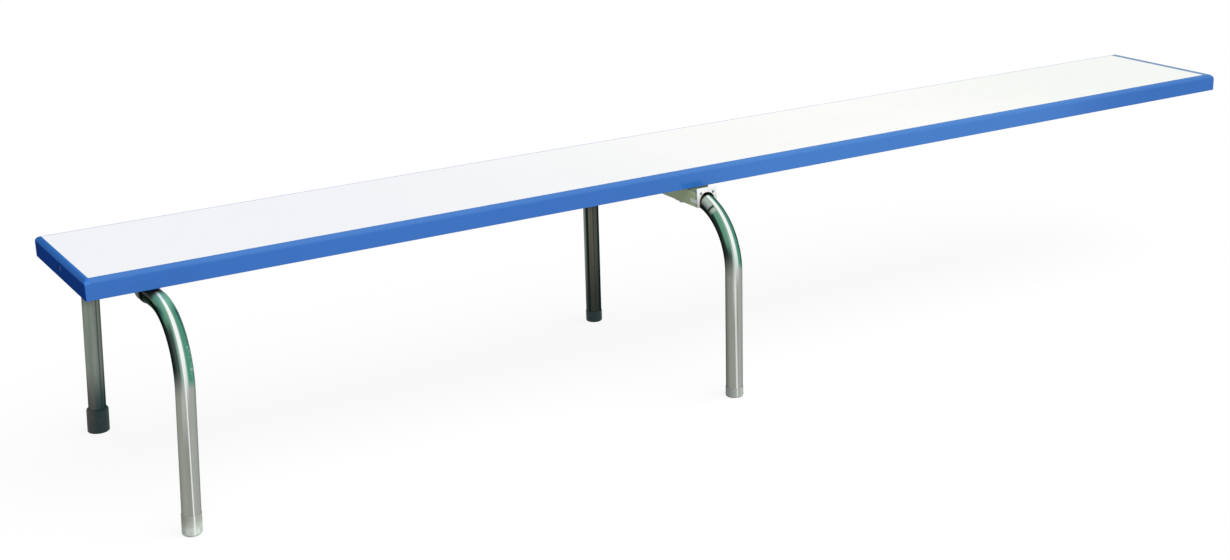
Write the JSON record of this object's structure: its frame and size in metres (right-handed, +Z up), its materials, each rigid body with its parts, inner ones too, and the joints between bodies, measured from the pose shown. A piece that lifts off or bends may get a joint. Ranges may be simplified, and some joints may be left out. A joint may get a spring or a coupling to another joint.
{
  "type": "diving board on tube frames",
  "caption": "Long flat diving board with a white non-slip tread, carried by bent tube frames at its rear end and under a fulcrum beam near its middle.",
  "frame": {"origin": "on the floor under the middle of the board: the centre of the part's outline, at the level of the feet", "axes": "+X along the board towards its tip, +Y to the left of someone walking out to the tip, +Z up"},
  "size_m": [3.4, 0.7539, 0.563],
  "materials": {
    "blue_gelcoat": "smooth moulded gelcoat",
    "blue_panel": "plain laminate sheet",
    "white_tread": "fine non-slip texture",
    "core_timber": "planed",
    "polished_tube": "polished stainless",
    "off_white_paint": "satin paint",
    "white_cap": "smooth moulding",
    "zinc_steel": "bright zinc",
    "brass_insert": "machined",
    "black_rubber": "moulded",
    "dark_vinyl": "worn",
    "pale_vinyl": "worn"
  },
  "bodies": {
    "root": {"board_shell": "blue_gelcoat", "tread_surface": "white_tread", "underside_panel": "blue_panel", "core_stringer_left": "core_timber", "core_stringer_right": "core_timber", "core_stringer_centre_rear": "core_timber", "core_stringer_centre_front": "core_timber", "core_block_rear": "core_timber", "core_block_front": "core_timber", "front_frame_tube": "polished_tube", "rear_frame_tube": "polished_tube", "fulcrum_beam": "off_white_paint", "fulcrum_pad": "black_rubber", "rear_left_boot": "black_rubber", "rear_right_cap": "pale_vinyl", "front_left_cap": "dark_vinyl", "front_right_cap": "pale_vinyl", "beam_end_cap_left": "white_cap", "saddle_washer_left": "zinc_steel", "through_bolt_left": "zinc_steel", "insert_front_left": "brass_insert", "rear_strap_left": "zinc_steel", "rear_cradle_left": "black_rubber", "end_cap_screw_left_1": "zinc_steel", "strap_bolt_left_1": "zinc_steel", "strap_washer_left_1": "zinc_steel", "insert_rear_left_1": "brass_insert", "end_cap_screw_left_2": "zinc_steel", "strap_bolt_left_2": "zinc_steel", "strap_washer_left_2": "zinc_steel", "insert_rear_left_2": "brass_insert", "beam_end_cap_right": "white_cap", "saddle_washer_right": "zinc_steel", "through_bolt_right": "zinc_steel", "insert_front_right": "brass_insert", "rear_strap_right": "zinc_steel", "rear_cradle_right": "black_rubber", "end_cap_screw_right_1": "zinc_steel", "strap_bolt_right_1": "zinc_steel", "strap_washer_right_1": "zinc_steel", "insert_rear_right_1": "brass_insert", "end_cap_screw_right_2": "zinc_steel", "strap_bolt_right_2": "zinc_steel", "strap_washer_right_2": "zinc_steel", "insert_rear_right_2": "brass_insert"}
  },
  "joints": []
}
